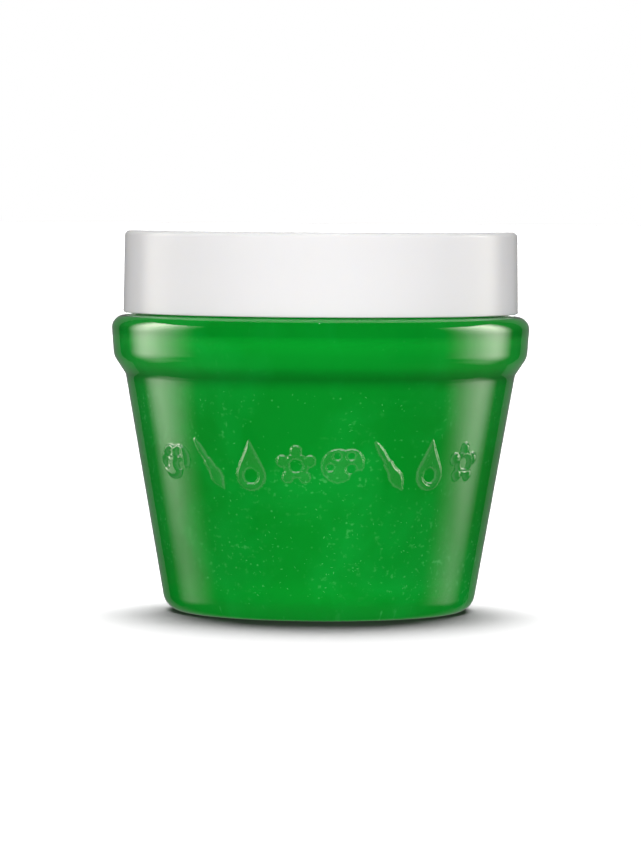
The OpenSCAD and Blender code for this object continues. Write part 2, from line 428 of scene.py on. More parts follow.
jar_mesh = turn("clear_jar_body", jar_outline, jar_steps,
                clear_plastic("clear_plastic", roughness=0.02, clearness=1.0))
refine_marks(jar_mesh)
jar_points = positions(jar_mesh)
raise_marks(jar_points)
raise_thread(jar_points)
set_positions(jar_mesh, jar_points)
tidied(jar_mesh)
# The raised marks have a faint milky frosting whose paleness is partly painted reflection, and it is
# paler on their edges than on their tops. Their upward-facing edge faces are whiter still, as painted
# glints.
for mark_part, clearness in (("mark_edges", 0.95), ("mark_tops", 0.985), ("mark_painted_glints", 0.75)):
    jar_mesh.materials.append(clear_plastic(mark_part, 0.05, clearness))
face_centres = np.array([face.center for face in jar_mesh.polygons]) / MM
face_depth = mark_depth(face_centres)[0]
on_edge = (face_depth > 0) & (face_depth < mark_rim)
on_top = face_depth >= mark_rim
tilt = np.array([face.normal.z for face in jar_mesh.polygons])
painted_glints = on_edge & (tilt > painted_glint_tilt)
mark_slots = on_edge + 2 * on_top + 2 * painted_glints
jar_mesh.polygons.foreach_set("material_index", mark_slots.astype(np.int32))
jar = new_object("jar_moulding", jar_mesh)
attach(jar, "jar")
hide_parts("clear_jar")


# -------------------------------------------------------------------- paint
# Thick green paint fills the jar to the neck and wets its wall, so there is no air between them.
# It was poured, so it has a crept edge and a settled swirl on top, and fine pearl hangs in it.
fill_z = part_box("paint_fill")[1].z / MM
wet = 0.06
paint_steps = 128
swirl_h = 0.28
ripple_h = 0.14

# Flakes of pearl: how they clump, how many are left in thin places and near the top, and their sizes
clump_scale = 170.0
clump_range = (0.42, 0.66)
thin_share = 0.12
top_share = 0.45
flake_least = (0.4, 0.3, 0.2)
flake_most = (2.6, 0.8, 0.3)

# Clouds, specks and wisps in the paint, and the heights in metres between which the fleck thins out,
# the rim band and the foot get painted light, and the neck gets painted shade, with the width of the
# ring of painted shade under the rim band
cloud_range = (0.42, 0.66)
speck_range = (0.22, 0.05)
rare_range = (0.80, 0.95)
wisp_range = (0.60, 0.76)
calm_z = (0.044, 0.048)
calm_share = 0.15
ring_width = 0.0035
band_lit_z = (0.051, 0.059)
neck_dark_z = (0.0585, 0.0605)
neck_light = 0.3
foot_lit_z = (0.001, 0.009)
foot_light = 1.3


def ramp(tree, value, low, high, start=0.0, end=1.0, **settings):
    """Goes from start to end as the value goes from low to high, and holds them beyond."""
    made = node(tree, "ShaderNodeMapRange", {0: value, 1: low, 2: high, 3: start, 4: end}, **settings)
    return made.outputs[0]


def pearl_tree():
    """Scatters small flakes of pearl over a surface, lying flat on it."""
    tree, given, result = node_group(
        "pearl_flakes", "GeometryNodeTree",
        {"Surface": "Geometry", "Density": "Float", "Size": "Float", "Bottom": "Float",
         "Top": "Float", "Seed": "Int", "Finish": "Material"}, {"Flakes": "Geometry"})
    spots = node(tree, "GeometryNodeDistributePointsOnFaces",
                 {"Mesh": given["Surface"], "Density": given["Density"], "Seed": given["Seed"]})
    place = node(tree, "GeometryNodeInputPosition").outputs[0]
    clumps = node(tree, "ShaderNodeTexNoise", {"Vector": place, "Scale": clump_scale, "Detail": 2.0})
    thick = ramp(tree, clumps.outputs["Fac"], *clump_range, thin_share)
    height = node(tree, "ShaderNodeSeparateXYZ", {0: place}).outputs["Z"]
    fewer = ramp(tree, height, given["Bottom"], given["Top"], 1.0, top_share)
    between = calc(tree, "MULTIPLY", calc(tree, "LESS_THAN", height, given["Top"]),
                   calc(tree, "GREATER_THAN", height, given["Bottom"]))
    share = calc(tree, "MULTIPLY", calc(tree, "MULTIPLY", thick, fewer), between)
    chance = node(tree, "FunctionNodeRandomValue", {"Seed": calc(tree, "ADD", given["Seed"], 2)},
                  data_type="FLOAT")
    kept = node(tree, "GeometryNodeDeleteGeometry",
                {"Geometry": spots.outputs["Points"],
                 "Selection": calc(tree, "GREATER_THAN", chance.outputs[1], share)})
    flake = node(tree, "GeometryNodeMeshIcoSphere", {"Radius": given["Size"], "Subdivisions": 1})
    longest = node(tree, "FunctionNodeRandomValue", {"Seed": given["Seed"]}, data_type="FLOAT_VECTOR")
    longest.inputs[0].default_value = flake_least
    longest.inputs[1].default_value = flake_most
    spin = node(tree, "FunctionNodeRandomValue", {"Seed": calc(tree, "ADD", given["Seed"], 1)},
                data_type="FLOAT")
    spin.inputs[2].default_value = 0
    spin.inputs[3].default_value = math.tau
    twist = node(tree, "ShaderNodeCombineXYZ", {"Z": spin.outputs[1]})
    turned = node(tree, "FunctionNodeRotateRotation",
                  {0: spots.outputs["Rotation"], 1: twist.outputs[0]}, rotation_space="LOCAL")
    flakes = node(tree, "GeometryNodeInstanceOnPoints",
                  {"Points": kept.outputs[0], "Instance": flake.outputs["Mesh"],
                   "Rotation": turned.outputs[0], "Scale": longest.outputs[0]})
    real = node(tree, "GeometryNodeRealizeInstances", {"Geometry": flakes.outputs[0]})
    finish = node(tree, "GeometryNodeSetMaterial",
                  {"Geometry": real.outputs[0], "Material": given["Finish"]})
    tree.links.new(finish.outputs[0], result["Flakes"])
    return tree


def pearl_paint_group():
    """Colour of the paint: slow clouds with fine specks and wisps of pearl, a ring of painted shade under
    the rim band, painted light in the band and at the foot, and painted shade in the neck."""
    tree, given, result = node_group(
        "pearl_paint", "ShaderNodeTree",
        {"Deep": "Color", "Cloud": "Color", "Pearl": "Color", "Amount": "Float",
         "Ring Height": "Float", "Ring Shade": "Float", "Band Light": "Float"},
        {"Color": "Color", "Height": "Float"})
    place = node(tree, "ShaderNodeTexCoord").outputs["Object"]
    clouds = node(tree, "ShaderNodeTexNoise", {"Vector": place, "Scale": 55.0, "Detail": 3.0,
                                               "Roughness": 0.55, "Distortion": 0.6})
    gather = ramp(tree, clouds.outputs["Fac"], *cloud_range)
    specks = node(tree, "ShaderNodeTexVoronoi", {"Vector": place, "Scale": 780.0})
    near = ramp(tree, specks.outputs["Distance"], *speck_range)
    chosen = node(tree, "ShaderNodeSeparateColor", {0: specks.outputs["Color"]})
    rare = ramp(tree, chosen.outputs[0], *rare_range)
    wisps = node(tree, "ShaderNodeTexNoise", {"Vector": place, "Scale": 900.0, "Detail": 2.0})
    thin = ramp(tree, wisps.outputs["Fac"], *wisp_range)
    pearl = calc(tree, "MULTIPLY", near, rare)
    wisp = calc(tree, "MULTIPLY", thin, gather)
    height = node(tree, "ShaderNodeSeparateXYZ", {0: place}).outputs["Z"]
    calm = ramp(tree, height, *calm_z, 1.0, calm_share)
    share = calc(tree, "MULTIPLY", calm, given["Amount"])
    both = calc(tree, "MULTIPLY", calc(tree, "MAXIMUM", pearl, wisp), share)
    body = node(tree, "ShaderNodeMix", {0: gather, 6: given["Deep"], 7: given["Cloud"]},
                data_type="RGBA")
    colour = node(tree, "ShaderNodeMix", {0: both, 6: body.outputs[2], 7: given["Pearl"]},
                  data_type="RGBA")
    # Painted shade in a ring under the rim band and in the neck, and painted light in the band and at the
    # foot, scale the colour by height.
    away = calc(tree, "ABSOLUTE", calc(tree, "SUBTRACT", height, given["Ring Height"]))
    ring = ramp(tree, away, 0.0, ring_width, given["Ring Shade"], 1.0,
                interpolation_type="SMOOTHSTEP")
    band = ramp(tree, height, *band_lit_z, 1.0, given["Band Light"])
    neck = ramp(tree, height, *neck_dark_z, 1.0, neck_light)
    foot = ramp(tree, height, *foot_lit_z, foot_light, 1.0)
    level = calc(tree, "MULTIPLY", calc(tree, "MULTIPLY", ring, band),
                 calc(tree, "MULTIPLY", neck, foot))
    shaded = node(tree, "ShaderNodeVectorMath", {0: colour.outputs[2], "Scale": level},
                  operation="SCALE")
    tree.links.new(shaded.outputs[0], result["Color"])
    tree.links.new(clouds.outputs["Fac"], result["Height"])
    return tree


pearl_paint = pearl_paint_group()


def paint_material(name, roughness, specular, bump):
    """Green pearl paint. What lies against the clear wall has almost no gloss of its own."""
    material, tree, shader = new_material(name, {
        "Roughness": roughness, "Specular IOR Level": specular})
    # Ring Height and Ring Shade place and deepen the painted shade under the rim band, and Band Light
    # sets the painted light in the band.
    group = node(tree, "ShaderNodeGroup", {
        "Deep": (0.0008, 0.275, 0.019, 1), "Cloud": (0.0025, 0.325, 0.031, 1),
        "Pearl": (0.08, 0.50, 0.13, 1), "Amount": 0.6, "Ring Height": 0.0492, "Ring Shade": 0.62,
        "Band Light": 1.6}, node_tree=pearl_paint)
    tree.links.new(group.outputs["Color"], shader.inputs["Base Color"])
    uneven = node(tree, "ShaderNodeBump", {"Height": group.outputs["Height"], "Strength": bump,
                                           "Distance": 0.0008})
    tree.links.new(uneven.outputs[0], shader.inputs["Normal"])
    return material


def flake_material():
    """Pearl flakes, each a little paler or greener."""
    material, tree, shader = new_material("pearl_flake", {
        "Roughness": 0.4, "Specular IOR Level": 0.1})
    place = node(tree, "ShaderNodeTexCoord").outputs["Object"]
    mix = node(tree, "ShaderNodeTexNoise", {"Vector": place, "Scale": 1500.0})
    tone = node(tree, "ShaderNodeMix", {0: mix.outputs["Fac"], 6: (0.01, 0.37, 0.045, 1),
                                        7: (0.12, 0.54, 0.17, 1)}, data_type="RGBA")
    tree.links.new(tone.outputs[2], shader.inputs["Base Color"])
    return material


def settle(points):
    """Gives the top of the paint a settled swirl, fading out towards its crept edge."""
    top = points[:, 2] > fill_z - 0.1
    x, y, z = points[top].T
    r = np.hypot(x, y)
    swirl = np.sin(2 * np.arctan2(y, x) + 0.32 * r) * np.sin(0.21 * r)
    ripple = np.sin(0.47 * x + 0.9) * np.sin(0.39 * y - 0.4)
    points[top, 2] = z + (swirl_h * swirl + ripple_h * ripple) * np.clip((30 - r) / 6, 0, 1)


against_wall = paint_material("paint_against_wall", 0.5, 0.05, 0.15)
top_rows = [(1.5 * i, fill_z, 0) for i in range(19)]
paint_outline = outline(
    top_rows + [(30.2, fill_z + 0.05, 2.0), (bore_r + wet, fill_z + 0.9, 0.2)]
    + [(r + wet if r > 0 else r, z - (wet if z == base_t else 0), c) for r, z, c in inner_wall])
paint_mesh = turn("paint", paint_outline, paint_steps, against_wall)
paint_points = positions(paint_mesh)
settle(paint_points)
set_positions(paint_mesh, paint_points)
paint_mesh.materials.append(paint_material("paint_open_top", 0.12, 0.5, 0.3))
for face in paint_mesh.polygons:
    face.material_index = 1 if face.center.z > (fill_z - 0.6) * MM and face.normal.z > 0.3 else 0
paint = new_object("green_paint", tidied(paint_mesh))
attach(paint, "jar")
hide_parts("paint_fill")

flakes = new_object("pearl_flakes", grow(
    "pearl_flakes", paint_mesh, pearl_tree(),
    {"Density": 360000.0, "Size": 0.12 * MM, "Bottom": 5 * MM, "Top": 46 * MM, "Seed": 7,
     "Finish": flake_material()}))
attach(flakes, "jar")


# ---------------------------------------------------------------- seal disc
# A thin soft disc plugs the mouth under the lid. It is moulded in one shot with its finger tab, which
# lies on the dished middle and folds up about a thin web at the anchor bar.
disc_low, disc_high = (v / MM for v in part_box("seal_disc"))
tab_low, tab_high = (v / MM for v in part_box("pull_tab"))
disc_top = disc_high.z
disc_t = 0.8
dish = 1.7
dish_top = disc_top - dish
stiffener_radii = (11.4, 23.4)
stiffener_h = 0.25
anchor_reach = 1.35
anchor_h = 0.85
plug_r = bore_r - 0.2
tab_t = tab_high.z - tab_low.z
tab_z = (tab_low.z + tab_high.z) / 2
ring_r = -tab_low.y
hinge_y = tab_high.y - tab_t / 2
arm_w = 8.0


def moulded_group():
    """Surface of a moulded plastic: a faint flow mottle, a fine grain and uneven gloss."""
    tree, given, result = node_group(
        "moulded_plastic", "ShaderNodeTree",
        {"Light": "Color", "Dark": "Color", "Gloss": "Float", "Gloss Spread": "Float",
         "Flow Scale": "Float", "Grain Scale": "Float", "Grain Share": "Float"},
        {"Color": "Color", "Roughness": "Float", "Height": "Float"})
    place = node(tree, "ShaderNodeTexCoord").outputs["Object"]
    flow = node(tree, "ShaderNodeTexNoise", {"Vector": place, "Scale": given["Flow Scale"],
                                             "Detail": 2.0, "Distortion": 0.8})
    grain = node(tree, "ShaderNodeTexNoise", {"Vector": place, "Scale": given["Grain Scale"],
                                              "Detail": 3.0})
    colour = node(tree, "ShaderNodeMix", {0: flow.outputs["Fac"], 6: given["Light"],
                                          7: given["Dark"]}, data_type="RGBA")
    spread = calc(tree, "MULTIPLY", calc(tree, "SUBTRACT", flow.outputs["Fac"], 0.5),
                  given["Gloss Spread"])
    height = node(tree, "ShaderNodeMix", {0: given["Grain Share"], 2: flow.outputs["Fac"],
                                          3: grain.outputs["Fac"]}, data_type="FLOAT")
    tree.links.new(colour.outputs[2], result["Color"])
    tree.links.new(calc(tree, "ADD", given["Gloss"], spread), result["Roughness"])
    tree.links.new(height.outputs[0], result["Height"])
    return tree


moulded_plastic = moulded_group()


def moulded(name, light, dark, gloss, bump, flow=60.0, grain=2500.0, share=0.5, specular=0.5,
            subsurface=0.0):
    """An opaque moulded plastic with its own colours, gloss and grain."""
    material, tree, shader = new_material(name, {
        "Specular IOR Level": specular, "Subsurface Weight": subsurface,
        "Subsurface Radius": (1.0, 0.9, 0.75), "Subsurface Scale": 0.0015})
    group = node(tree, "ShaderNodeGroup", {
        "Light": light, "Dark": dark, "Gloss": gloss, "Gloss Spread": 0.06, "Flow Scale": flow,
        "Grain Scale": grain, "Grain Share": share}, node_tree=moulded_plastic)
    tree.links.new(group.outputs["Color"], shader.inputs["Base Color"])
    tree.links.new(group.outputs["Roughness"], shader.inputs["Roughness"])
    uneven = node(tree, "ShaderNodeBump", {"Height": group.outputs["Height"], "Strength": bump,
                                           "Distance": 0.0002})
    tree.links.new(uneven.outputs[0], shader.inputs["Normal"])
    return material


def joined(name, meshes):
    """One mesh of several, each keeping its material."""
    whole = bmesh.new()
    materials = []
    for mesh in meshes:
        slots = [materials.index(m) if m in materials else len(materials) for m in mesh.materials]
        materials += [m for m in mesh.materials if m not in materials]
        start = len(whole.faces)
        whole.from_mesh(mesh)
        whole.faces.ensure_lookup_table()
        for face in whole.faces[start:]:
            face.material_index = slots[face.material_index] if slots else 0
    result = bpy.data.meshes.new(name)
    whole.to_mesh(result)
    whole.free()
    for material in materials:
        result.materials.append(material)
    return result


def rounded_block(name, low, high, rounding, finish):
    """A block between two corners with rounded edges."""
    bm = bmesh.new()
    bmesh.ops.create_cube(bm, size=1)
    low, high = Vector(low), Vector(high)
    for vert in bm.verts:
        vert.co = Vector([l + (h - l) * (c + 0.5) for l, h, c in zip(low, high, vert.co)]) * MM
    bmesh.ops.bevel(bm, geom=bm.edges, offset=rounding * MM, segments=3, affect="EDGES", profile=0.5)
    mesh = bpy.data.meshes.new(name)
    bm.to_mesh(mesh)
    bm.free()
    mesh.materials.append(finish)
    return tidied(mesh)


soft_white = moulded("soft_white_disc", (0.80, 0.80, 0.76, 1), (0.74, 0.74, 0.70, 1), 0.42, 0.25,
                     grain=1800.0, subsurface=0.2)
flange_r = neck_r - 0.4
stiffeners = []
for r in stiffener_radii:
    top = dish_top + stiffener_h
    stiffeners += [(r, dish_top, 0.4), (r + 0.4, top, 0.15), (r + 1, top, 0.15), (r + 1.4, dish_top, 0.4)]
disc_outline = outline([(0, dish_top, 0)] + stiffeners + [
    (30.0, dish_top, 0.6), (30.8, disc_top, 0.3), (flange_r, disc_top, 0.3), (flange_r, lip_z, 0.2),
    (plug_r, lip_z, 0.1), (plug_r, disc_low.z, 0.3), (plug_r - disc_t, disc_low.z, 0.3),
    (plug_r - disc_t, dish_top - disc_t, 0.4), (0, dish_top - disc_t, 0)])
anchor_y = hinge_y + tab_t / 2
disc_mesh = turn("seal_disc_skin", disc_outline, 160, soft_white)
anchor_mesh = rounded_block("anchor_bar", (-arm_w / 2, anchor_y - 0.02, dish_top - 0.2),
                            (arm_w / 2, anchor_y + anchor_reach, dish_top + anchor_h), 0.18, soft_white)
disc = new_object("seal_disc_moulding", joined("seal_disc_moulding", [disc_mesh, anchor_mesh]))
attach(disc, "disc")
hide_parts("seal_disc")


# ----------------------------------------------------------------- pull tab
# The finger tab is a flat ring on a short arm. Its root is a round bead beside the anchor bar, where
# the moulding thins to a web that bends.
ring_hole_r = 4.4
ring_steps = 72
hole_steps = 64


def tab_outline():
    """The ring and its arm as one outline, seen from above."""
    meet = math.asin(arm_w / 2 / ring_r)
    sweep = math.tau - 2 * meet
    points = [(arm_w / 2, hinge_y)]
    for i in range(ring_steps + 1):
        angle = math.pi / 2 - meet - sweep * i / ring_steps
        points.append((ring_r * math.cos(angle), ring_r * math.sin(angle)))
    return points + [(-arm_w / 2, hinge_y)]


def flat_piece(name, loops, low, high, rounding, finish):
    """A flat piece cut to closed loops of points, with rounded edges, between two heights."""
    curve = bpy.data.curves.new(name, "CURVE")
    curve.dimensions = "2D"
    curve.fill_mode = "BOTH"
    curve.extrude = ((high - low) / 2 - rounding) * MM
    curve.bevel_depth = rounding * MM
    curve.bevel_resolution = 3
    curve.offset = -rounding * MM
    for loop in loops:
        spline = curve.splines.new("POLY")
        spline.points.add(len(loop) - 1)
        for point, (x, y) in zip(spline.points, loop):
            point.co = (x * MM, y * MM, 0, 1)
        spline.use_cyclic_u = True
    shape = new_object(name, curve)
    graph = bpy.context.evaluated_depsgraph_get()
    mesh = bpy.data.meshes.new_from_object(shape.evaluated_get(graph))
    bpy.data.objects.remove(shape)
    for vert in mesh.vertices:
        vert.co.z += (low + high) / 2 * MM
    mesh.materials.clear()
    mesh.materials.append(finish)
    return tidied(mesh)


hole_angles = [math.tau * i / hole_steps for i in range(hole_steps)]
hole = [(ring_hole_r * math.cos(angle), ring_hole_r * math.sin(angle)) for angle in hole_angles]
tab_mesh = flat_piece("pull_tab_ring", [tab_outline(), hole], tab_low.z, tab_high.z, 0.2, soft_white)
root_outline = outline([(0, -arm_w / 2, 0), (tab_t / 2, -arm_w / 2, 0.1), (tab_t / 2, arm_w / 2, 0.1),
                        (0, arm_w / 2, 0)])
root_mesh = turn("pull_tab_root", root_outline, 24, soft_white)
root_x, root_y, root_z = positions(root_mesh).T
set_positions(root_mesh, np.stack([root_z, root_x + hinge_y, root_y + tab_z], 1))
tab = new_object("finger_tab", joined("finger_tab", [tab_mesh, tidied(root_mesh)]))
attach(tab, "tab")
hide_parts("pull_tab")


# --------------------------------------------------------------- foam liner
# The liner is a wad die-cut from foam sheet. The lip and the disc's flange have pressed a shallow
# ring into its underside.
liner_low, liner_high = (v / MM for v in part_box("foam_liner"))
liner_r = liner_high.x
press = 0.12

foam = moulded("foam_sheet", (0.84, 0.84, 0.81, 1), (0.70, 0.70, 0.67, 1), 0.85, 0.9, flow=240.0,
               grain=1400.0, share=0.8, specular=0.2)
liner_outline = outline([
    (0, liner_low.z, 0), (31.2, liner_low.z, 0.5), (31.9, liner_low.z + press, 0.4),
    (flange_r + 0.2, liner_low.z + press, 0.3), (flange_r + 0.5, liner_low.z, 0.2),
    (liner_r, liner_low.z, 0.12), (liner_r, liner_high.z, 0.12), (0, liner_high.z, 0)])
liner = new_object("foam_wad", turn("foam_wad", liner_outline, 160, foam))
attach(liner, "liner")
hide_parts("foam_liner")


# ---------------------------------------------------------- threaded insert
# The inner cap is a satin moulding with the lid's thread inside its skirt. A bead snaps into the
# shell, and four notches in its rim take the shell's drive keys.
insert_low, insert_high = (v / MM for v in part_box("threaded_insert"))
insert_bore = 36.8
insert_r = 37.9
thread_drop = 1.5
lid_thread_start = 90.0
lid_thread_fade = 0.1
bead_z = lid_low + 3.4
key_count = 4
key_w = 1.2
key_h = 2.0
key_play = 0.15


def thread_tree():
    """A ridge that follows a helix on the inside of a skirt and fades out at both ends."""
    tree, given, result = node_group(
        "thread_ridge", "GeometryNodeTree",
        {"Section": "Geometry", "Radius": "Float", "Pitch": "Float", "Turns": "Float",
         "Fade": "Float", "Finish": "Material"}, {"Ridge": "Geometry"})
    helix = node(tree, "GeometryNodeCurveSpiral",
                 {"Resolution": 120, "Rotations": given["Turns"], "Start Radius": given["Radius"],
                  "End Radius": given["Radius"],
                  "Height": calc(tree, "MULTIPLY", given["Pitch"], given["Turns"])})
    share = node(tree, "GeometryNodeSplineParameter").outputs["Factor"]
    end = calc(tree, "MINIMUM", share, calc(tree, "SUBTRACT", 1, share))
    size = calc(tree, "MINIMUM", 1, calc(tree, "ADD", 0.12, calc(tree, "DIVIDE", end, given["Fade"])))
    faded = node(tree, "GeometryNodeSetCurveRadius", {"Curve": helix.outputs[0], "Radius": size})
    upright = node(tree, "GeometryNodeSetCurveNormal", {"Curve": faded.outputs[0]}, mode="Z_UP")
    section = node(tree, "GeometryNodeMeshToCurve", {"Mesh": given["Section"]})
    swept = node(tree, "GeometryNodeCurveToMesh",
                 {"Curve": upright.outputs[0], "Profile Curve": section.outputs[0],
                  "Fill Caps": True})
    real = node(tree, "GeometryNodeRealizeInstances", {"Geometry": swept.outputs[0]})
    finish = node(tree, "GeometryNodeSetMaterial",
                  {"Geometry": real.outputs[0], "Material": given["Finish"]})
    tree.links.new(finish.outputs[0], result["Ridge"])
    return tree


def turned_points(points, angle):
    """Points turned about the axis by an angle in radians."""
    x, y, z = points.T
    return np.stack([x * math.cos(angle) - y * math.sin(angle),
                     x * math.sin(angle) + y * math.cos(angle), z], 1)


def insert_thread(finish):
    """The lid's thread, turned to where it meets the neck's."""
    section = outline([(-0.4, -1.1, 0), (0.85, -0.65, 0.35), (0.85, 0.65, 0.35), (-0.4, 1.1, 0)])
    mesh = bpy.data.meshes.new("thread_section")
    loop = [(i, (i + 1) % len(section)) for i in range(len(section))]
    mesh.from_pydata([(p.x * MM, p.y * MM, 0) for p in section], loop, [])
    ridge = grow("insert_thread", mesh, thread_tree(), {
        "Radius": insert_bore * MM, "Pitch": thread_pitch * MM, "Turns": thread_turns,
        "Fade": lid_thread_fade, "Finish": finish})
    points = turned_points(positions(ridge), math.radians(lid_thread_start))
    points[:, 2] += thread_z - thread_drop + thread_pitch * lid_thread_start / 360
    set_positions(ridge, points)
    return tidied(ridge)


satin_white = moulded("satin_white_insert", (0.78, 0.78, 0.75, 1), (0.73, 0.73, 0.70, 1), 0.38, 0.3)
insert_top = insert_high.z
insert_outline = outline([
    (0, liner_high.z, 0), (insert_bore, liner_high.z, 0.5), (insert_bore, insert_low.z, 0.25),
    (insert_r, insert_low.z, 0.25), (insert_r, bead_z - 0.5, 0.2), (insert_r + 0.33, bead_z, 0.2),
    (insert_r, bead_z + 0.5, 0.2), (insert_r, insert_top, 0.5), (0, insert_top, 0)])
insert_skin = turn("insert_skin", insert_outline, 160, satin_white)


def at_keys(name, low_r, high_r, width, low, high, rounding, finish):
    """A block at each drive key."""
    blocks = []
    for i in range(key_count):
        mesh = rounded_block(name, (low_r, -width / 2, low), (high_r, width / 2, high), rounding, finish)
        angle = math.radians(45) + math.tau * i / key_count
        set_positions(mesh, turned_points(positions(mesh), angle))
        blocks.append(mesh)
    return joined(name, blocks)


def carved(name, mesh, cutter):
    """A mesh with the cutter's blocks taken out of it."""
    body = new_object(name, mesh)
    tool = new_object(name + "_cutter", cutter)
    cut = body.modifiers.new("notches", "BOOLEAN")
    cut.operation = "DIFFERENCE"
    cut.solver = "EXACT"
    cut.object = tool
    graph = bpy.context.evaluated_depsgraph_get()
    result = bpy.data.meshes.new_from_object(body.evaluated_get(graph))
    bpy.data.objects.remove(body)
    bpy.data.objects.remove(tool)
    return result


notches = at_keys("insert_notches", insert_bore - 1, insert_r + 1, key_w + 2 * key_play,
                  insert_low.z - 1, insert_low.z + key_h + key_play, 0.1, satin_white)
insert_mesh = joined("inner_cap", [carved("insert_carved", insert_skin, notches),
                                   insert_thread(satin_white)])
inner_cap = new_object("inner_cap", insert_mesh)
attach(inner_cap, "lid")
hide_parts("threaded_insert")


# ---------------------------------------------------------------- lid shell
# The outer cap is a smooth glossy white moulding with a slight draft and a small edge round its top.
# It snaps over the insert, and four keys inside its skirt turn it.
shell_low, shell_high = (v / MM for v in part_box("lid_shell"))
lid_low_r = shell_high.x
lid_draft = 0.25
lid_top_r = lid_low_r - lid_draft
key_depth = 0.7
shell_bore = insert_r + 0.05

gloss_white = moulded("gloss_white_lid", (0.885, 0.875, 0.88, 1), (0.865, 0.855, 0.855, 1), 0.12, 0.06,
                      flow=35.0, grain=1200.0, share=0.25, specular=0.1, subsurface=0.15)
shell_outline = outline([
    (0, insert_top, 0), (shell_bore, insert_top, 0.5), (shell_bore, bead_z + 0.6, 0.2),
    (insert_r + 0.45, bead_z, 0.2), (shell_bore, bead_z - 0.6, 0.2), (shell_bore, shell_low.z, 0.3),
    (lid_low_r, shell_low.z, 0.3), (lid_top_r, shell_high.z, 1.0), (0, shell_high.z, 0)])
shell_mesh = turn("lid_skin", shell_outline, 192, gloss_white)
keys_mesh = at_keys("drive_keys", shell_bore - key_depth, shell_bore + 0.5, key_w, insert_low.z,
                    insert_low.z + key_h, 0.15, gloss_white)
shell = new_object("outer_cap", joined("outer_cap", [shell_mesh, keys_mesh]))
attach(shell, "lid")
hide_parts("lid_shell")


# ------------------------------------------------------------ floor, lights
# A plain pale floor and soft studio light. Two curved panels beside the jar and a small lamp above it
# are only seen as reflections, and the floor and the lid have lamps of their own.
scene = bpy.context.scene
scene.view_settings.view_transform = "Standard"
floor_size = 12.0
floor_mesh = bpy.data.meshes.new("floor")
floor_mesh.from_pydata([(x * floor_size, y * floor_size, 0) for x, y in
                        ((-1, -1), (1, -1), (1, 1), (-1, 1))], [], [(0, 1, 2, 3)])
floor_mesh.materials.append(new_material("floor", {
    "Base Color": (0.12, 0.12, 0.12, 1), "Roughness": 0.9, "Specular IOR Level": 0.0})[0])
floor = new_object("floor", floor_mesh)
for ray in ("glossy", "diffuse", "transmission", "shadow"):
    setattr(floor, "visible_" + ray, False)

world = bpy.data.worlds.new("studio")
scene.world = world
world.use_nodes = True
world.cycles.sampling_method = "NONE"
sky = world.node_tree
mirror_y = (0.6, 1.0)
mirror_level = (0.012, 0.2)
skyline_level = 1.6
skyline_low_z = (-0.005, 0.02)
skyline_high_z = (0.05, 0.11)
skyline_y = (0.93, 0.98)
skyline_x = (0.10, 0.16)
ray_levels = {"Is Diffuse Ray": 0.30, "Is Transmission Ray": 0.5, "Is Camera Ray": 1.0}

away = node(sky, "ShaderNodeSeparateXYZ", {0: node(sky, "ShaderNodeTexCoord").outputs["Generated"]})
mirrored = ramp(sky, away.outputs["Y"], *mirror_y, *mirror_level)
above = ramp(sky, away.outputs["Z"], *skyline_low_z)
below = ramp(sky, away.outputs["Z"], *skyline_high_z, 1.0, 0.0)
behind = ramp(sky, away.outputs["Y"], *skyline_y, 0.0, skyline_level)
ahead = ramp(sky, calc(sky, "ABSOLUTE", away.outputs["X"]), *skyline_x, 1.0, 0.0)
skyline = calc(sky, "MULTIPLY", calc(sky, "MULTIPLY", above, below),
               calc(sky, "MULTIPLY", behind, ahead))
path = node(sky, "ShaderNodeLightPath").outputs
level = calc(sky, "ADD", mirrored, skyline)
for ray, value in ray_levels.items():
    level = node(sky, "ShaderNodeMix", {0: path[ray], 2: level, 3: value}, data_type="FLOAT").outputs[0]
sky.links.new(level, sky.nodes["Background"].inputs["Strength"])
sky.nodes["Background"].inputs["Color"].default_value = (1, 1, 1, 1)


def sun(name, strength, azimuth, elevation, spread, lit, link):
    """A far, soft lamp, placed by its angle from the front and its height, that lights the objects in
    a collection, or all but those. It leaves no reflection of itself."""
    lamp = bpy.data.lights.new(name, "SUN")
    lamp.energy = strength
    lamp.angle = math.radians(spread)
    lamp.cycles.use_multiple_importance_sampling = False
    made = new_object(name, lamp)
    flat = math.cos(math.radians(elevation))
    at = Vector((flat * math.sin(math.radians(azimuth)), -flat * math.cos(math.radians(azimuth)),
                 math.sin(math.radians(elevation))))
    made.rotation_mode = "QUATERNION"
    made.rotation_quaternion = (-at).to_track_quat("-Z", "Y")
    made.visible_glossy = False
    made.visible_transmission = False
    made.light_linking.receiver_collection = lit
    for item in lit.collection_objects:
        item.light_linking.link_state = link


only_floor = bpy.data.collections.new("lit_by_floor_lamps")
only_floor.objects.link(floor)
all_but_floor = bpy.data.collections.new("not_lit_by_front_lamp")
all_but_floor.objects.link(floor)
sun("front_light", strength=2.45, azimuth=0, elevation=14, spread=150, lit=all_but_floor,
    link="EXCLUDE")
only_lid = bpy.data.collections.new("lit_by_rear_lamp")
only_lid.objects.link(shell)
sun("rear_light", strength=1.2, azimuth=180, elevation=35, spread=60, lit=only_lid, link="INCLUDE")
sun("floor_light", strength=31.0, azimuth=180, elevation=50, spread=62, lit=only_floor,
    link="INCLUDE")
sun("floor_top_light", strength=15.0, azimuth=180, elevation=82, spread=26, lit=only_floor,
    link="INCLUDE")


